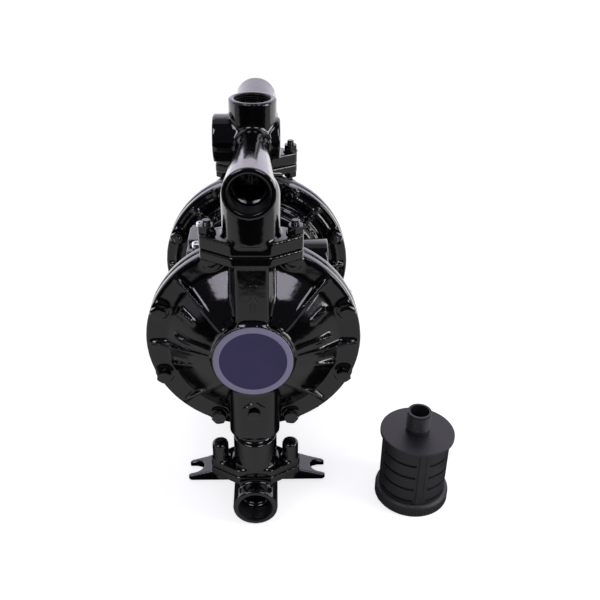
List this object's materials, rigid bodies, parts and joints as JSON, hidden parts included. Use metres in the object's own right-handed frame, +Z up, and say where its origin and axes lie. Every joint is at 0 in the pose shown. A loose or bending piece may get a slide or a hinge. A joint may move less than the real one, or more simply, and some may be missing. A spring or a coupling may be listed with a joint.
{
  "type": "air operated diaphragm pump",
  "caption": "Air operated double diaphragm pump with domed bolted liquid covers, top and bottom pipe manifolds, a side air valve, slotted feet and a separate exhaust muffler.",
  "frame": {"origin": "on the floor, midway between the four feet, under the middle of the pump", "axes": "+Z up, the pump axis and both pipes along Y with the front cover facing -Y, +X to the right of a person who faces that cover, where the exhaust port and the muffler are"},
  "size_m": [0.3066, 0.2824, 0.399],
  "materials": {
    "black_casting": "gloss black paint on cast aluminium",
    "black_fasteners": "gloss black paint on steel",
    "steel": "bare steel",
    "badge_purple": "plain purple plate",
    "black_rubber": "matte",
    "gasket_sheet": "matte",
    "white_ptfe": "smooth",
    "bare_aluminium": "machined",
    "brass": "machined",
    "muffler_plastic": "matte charcoal",
    "muffler_felt": "felt"
  },
  "bodies": {
    "pump": {"centre_body": "black_casting", "discharge_flange_bolts": "black_fasteners", "discharge_flange_nuts": "black_fasteners", "discharge_flange_washers": "black_fasteners", "discharge_manifold": "black_casting", "discharge_seat_rings": "white_ptfe", "discharge_seats": "steel", "front_air_chamber": "black_casting", "front_badge": "badge_purple", "front_chamber_gasket": "gasket_sheet", "front_chamber_screws": "steel", "front_cover_bolts": "black_fasteners", "front_cover_nuts": "black_fasteners", "front_diaphragm": "black_rubber", "front_drain_plug": "black_fasteners", "front_fluid_cover": "black_casting", "pilot_bushes": "brass", "rear_air_chamber": "black_casting", "rear_badge": "badge_purple", "rear_chamber_gasket": "gasket_sheet", "rear_chamber_screws": "steel", "rear_cover_bolts": "black_fasteners", "rear_cover_nuts": "black_fasteners", "rear_diaphragm": "black_rubber", "rear_drain_plug": "black_fasteners", "rear_fluid_cover": "black_casting", "shaft_bushes": "brass", "shaft_seals": "black_rubber", "suction_flange_bolts": "black_fasteners", "suction_manifold": "black_casting", "suction_seat_rings": "white_ptfe", "suction_seats": "steel", "valve_block": "black_casting", "valve_block_screws": "steel", "valve_bottom_cap": "black_casting", "valve_cap_gaskets": "gasket_sheet", "valve_cap_screws": "steel", "valve_gasket": "gasket_sheet", "valve_sleeve": "brass", "valve_top_cap": "black_casting"},
    "diaphragm_group": {"diaphragm_shaft": "steel", "plate_screws": "steel", "front_inner_plate": "bare_aluminium", "rear_inner_plate": "bare_aluminium", "front_outer_plate": "bare_aluminium", "rear_outer_plate": "bare_aluminium"},
    "front_suction_ball": {"front_suction_ball": "white_ptfe"},
    "rear_suction_ball": {"rear_suction_ball": "white_ptfe"},
    "front_discharge_ball": {"front_discharge_ball": "white_ptfe"},
    "rear_discharge_ball": {"rear_discharge_ball": "white_ptfe"},
    "valve_spool": {"valve_spool": "bare_aluminium"},
    "front_pilot_pin": {"front_pilot_pin": "steel"},
    "rear_pilot_pin": {"rear_pilot_pin": "steel"},
    "muffler": {"muffler_body": "muffler_plastic", "muffler_base_cap": "muffler_plastic", "muffler_element": "muffler_felt"}
  },
  "joints": [
    {"name": "diaphragm_stroke", "type": "slide", "parent": "pump", "child": "diaphragm_group", "axis": [0, 1, 0], "range_m": [-0.008, 0.008], "deforming": ["front_diaphragm", "rear_diaphragm"]},
    {"name": "front_suction_ball_lift", "type": "slide", "parent": "pump", "child": "front_suction_ball", "axis": [0, 0, 1], "range_m": [0, 0.008]},
    {"name": "front_discharge_ball_lift", "type": "slide", "parent": "pump", "child": "front_discharge_ball", "axis": [0, 0, 1], "range_m": [0, 0.008]},
    {"name": "rear_suction_ball_lift", "type": "slide", "parent": "pump", "child": "rear_suction_ball", "axis": [0, 0, 1], "range_m": [0, 0.008]},
    {"name": "rear_discharge_ball_lift", "type": "slide", "parent": "pump", "child": "rear_discharge_ball", "axis": [0, 0, 1], "range_m": [0, 0.008]},
    {"name": "valve_spool_shift", "type": "slide", "parent": "pump", "child": "valve_spool", "axis": [0, 0, 1], "range_m": [0, 0.012]},
    {"name": "front_pilot_pin_push", "type": "slide", "parent": "pump", "child": "front_pilot_pin", "axis": [0, 1, 0], "range_m": [0, 0.006]},
    {"name": "rear_pilot_pin_push", "type": "slide", "parent": "pump", "child": "rear_pilot_pin", "axis": [0, -1, 0], "range_m": [0, 0.006]},
    {"name": "muffler_lift", "type": "slide", "parent": "pump", "child": "muffler", "axis": [0, 0, 1], "range_m": [0, 0.15]}
  ]
}
